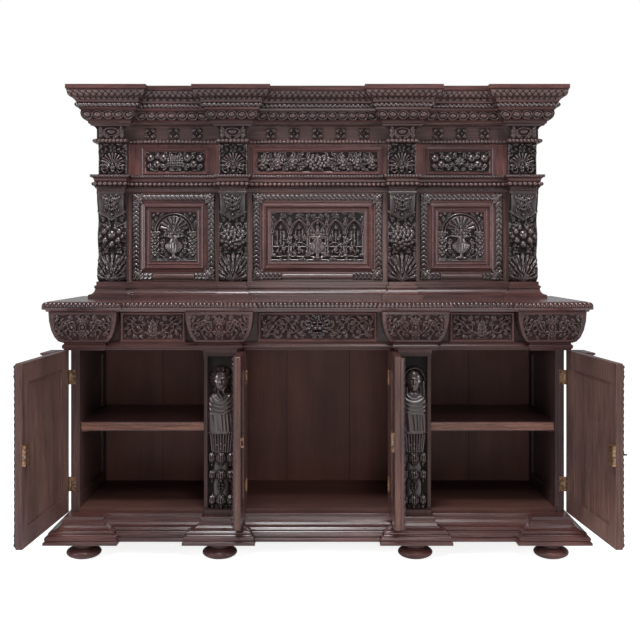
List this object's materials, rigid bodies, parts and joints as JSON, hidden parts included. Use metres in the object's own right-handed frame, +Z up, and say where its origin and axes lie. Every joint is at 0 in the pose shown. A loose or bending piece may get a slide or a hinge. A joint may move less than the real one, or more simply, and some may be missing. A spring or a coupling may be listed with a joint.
{
  "type": "carved sideboard",
  "caption": "Carved oak sideboard in two stages: open double-ended lower case with figure pilasters on a stepped plinth, and a shallower cupboard stage under a deep cornice.",
  "frame": {"origin": "middle of the floor area under the whole piece as it stands with its four lower doors open", "axes": "+X along the width to the right as seen from the front, +Y from the front to the back, +Z up"},
  "size_m": [2.3206, 1.1294, 2.037],
  "materials": {
    "carved_oak": "dark stained and waxed carved oak",
    "plain_oak": "stained and waxed oak, satin",
    "inner_oak": "dull unpolished oak",
    "brass": "aged brass",
    "iron": "worn iron"
  },
  "bodies": {
    "case": {"bun_feet": "plain_oak", "plinth_front": "plain_oak", "plinth_frame": "plain_oak", "bottom_board": "inner_oak", "side_left": "plain_oak", "side_right": "plain_oak", "partitions": "inner_oak", "pilaster_left": "carved_oak", "pilaster_right": "carved_oak", "herm_left": "carved_oak", "herm_right": "carved_oak", "lower_back": "inner_oak", "shelves": "inner_oak", "runners": "inner_oak", "frieze_rail": "plain_oak", "frieze_board": "plain_oak", "frieze_block_1": "carved_oak", "frieze_block_2": "carved_oak", "frieze_block_3": "carved_oak", "frieze_block_4": "carved_oak", "frieze_sides": "plain_oak", "countertop": "plain_oak", "hinge_plates": "brass", "upper_base": "plain_oak", "middle_moulding": "plain_oak", "entablature": "plain_oak", "cornice": "plain_oak", "face_frame": "plain_oak", "upper_sides": "plain_oak", "upper_boards": "inner_oak", "upper_back": "inner_oak", "pivot_pins": "iron", "console_1": "carved_oak", "console_2": "carved_oak", "console_3": "carved_oak", "console_4": "carved_oak", "row_blocks": "carved_oak"},
    "left_door": {"door_left": "carved_oak", "door_herm_left": "carved_oak", "brass_left": "brass"},
    "left_bolt": {"bolt_left": "iron"},
    "right_door": {"door_right": "carved_oak", "door_herm_right": "carved_oak", "brass_right": "brass"},
    "right_bolt": {"bolt_right": "iron"},
    "key": {"key": "iron"},
    "centre_left_door": {"door_centre_left": "carved_oak", "brass_centre_left": "brass"},
    "centre_right_door": {"door_centre_right": "carved_oak", "brass_centre_right": "brass"},
    "centre_bolt": {"bolt_centre_right": "iron"},
    "frieze_drawer_left": {"frieze_drawer_left": "carved_oak"},
    "frieze_drawer_centre": {"frieze_drawer_centre": "carved_oak"},
    "frieze_drawer_right": {"frieze_drawer_right": "carved_oak"},
    "upper_door_left": {"upper_door_left": "carved_oak"},
    "upper_door_centre": {"upper_door_centre": "carved_oak"},
    "upper_door_right": {"upper_door_right": "carved_oak"},
    "upper_drawer_left": {"upper_drawer_left": "carved_oak"},
    "upper_drawer_centre": {"upper_drawer_centre": "carved_oak"},
    "upper_drawer_right": {"upper_drawer_right": "carved_oak"}
  },
  "joints": [
    {"name": "left_door_hinge", "type": "hinge", "parent": "case", "child": "left_door", "pos_m": [-1.0652, 0.00775, 0.52], "axis": [0, 0, -1], "range_deg": [-93.4, 16]},
    {"name": "right_door_hinge", "type": "hinge", "parent": "case", "child": "right_door", "pos_m": [1.0652, 0.00775, 0.52], "axis": [0, 0, 1], "range_deg": [-94.6, 15]},
    {"name": "centre_left_hinge", "type": "hinge", "parent": "case", "child": "centre_left_door", "pos_m": [-0.306, 0.00775, 0.52], "axis": [0, 0, -1], "range_deg": [-90, 0]},
    {"name": "centre_right_hinge", "type": "hinge", "parent": "case", "child": "centre_right_door", "pos_m": [0.306, 0.00775, 0.52], "axis": [0, 0, 1], "range_deg": [-90, 0]},
    {"name": "left_bolt_throw", "type": "slide", "parent": "left_door", "child": "left_bolt", "axis": [-0.0593, -0.9982, 0], "range_m": [0, 0.008]},
    {"name": "right_bolt_throw", "type": "slide", "parent": "right_door", "child": "right_bolt", "axis": [0.0802, -0.9968, 0], "range_m": [0, 0.008]},
    {"name": "centre_bolt_throw", "type": "slide", "parent": "centre_right_door", "child": "centre_bolt", "axis": [0, -1, 0], "range_m": [0, 0.008]},
    {"name": "key_turn", "type": "hinge", "parent": "right_door", "child": "key", "pos_m": [1.13899, -0.53528, 0.521], "axis": [-0.9968, -0.0802, 0], "range_deg": [0, 90]},
    {"name": "frieze_drawer_left_slide", "type": "slide", "parent": "case", "child": "frieze_drawer_left", "axis": [0, -1, 0], "range_m": [0, 0.3]},
    {"name": "frieze_drawer_centre_slide", "type": "slide", "parent": "case", "child": "frieze_drawer_centre", "axis": [0, -1, 0], "range_m": [0, 0.3]},
    {"name": "frieze_drawer_right_slide", "type": "slide", "parent": "case", "child": "frieze_drawer_right", "axis": [0, -1, 0], "range_m": [0, 0.3]},
    {"name": "upper_door_left_hinge", "type": "hinge", "parent": "case", "child": "upper_door_left", "pos_m": [-0.8525, 0.34635, 1.357], "axis": [0, 0, -1], "range_deg": [0, 95]},
    {"name": "upper_door_centre_hinge", "type": "hinge", "parent": "case", "child": "upper_door_centre", "pos_m": [-0.296, 0.34635, 1.357], "axis": [0, 0, -1], "range_deg": [0, 95]},
    {"name": "upper_door_right_hinge", "type": "hinge", "parent": "case", "child": "upper_door_right", "pos_m": [0.8525, 0.34635, 1.357], "axis": [0, 0, 1], "range_deg": [0, 95]},
    {"name": "upper_drawer_left_slide", "type": "slide", "parent": "case", "child": "upper_drawer_left", "axis": [0, -1, 0], "range_m": [0, 0.13]},
    {"name": "upper_drawer_centre_slide", "type": "slide", "parent": "case", "child": "upper_drawer_centre", "axis": [0, -1, 0], "range_m": [0, 0.13]},
    {"name": "upper_drawer_right_slide", "type": "slide", "parent": "case", "child": "upper_drawer_right", "axis": [0, -1, 0], "range_m": [0, 0.13]}
  ],
  "couplings": [
    {"joint": "key_turn", "follows": "right_bolt_throw", "rad_per_m": 196.34}
  ]
}
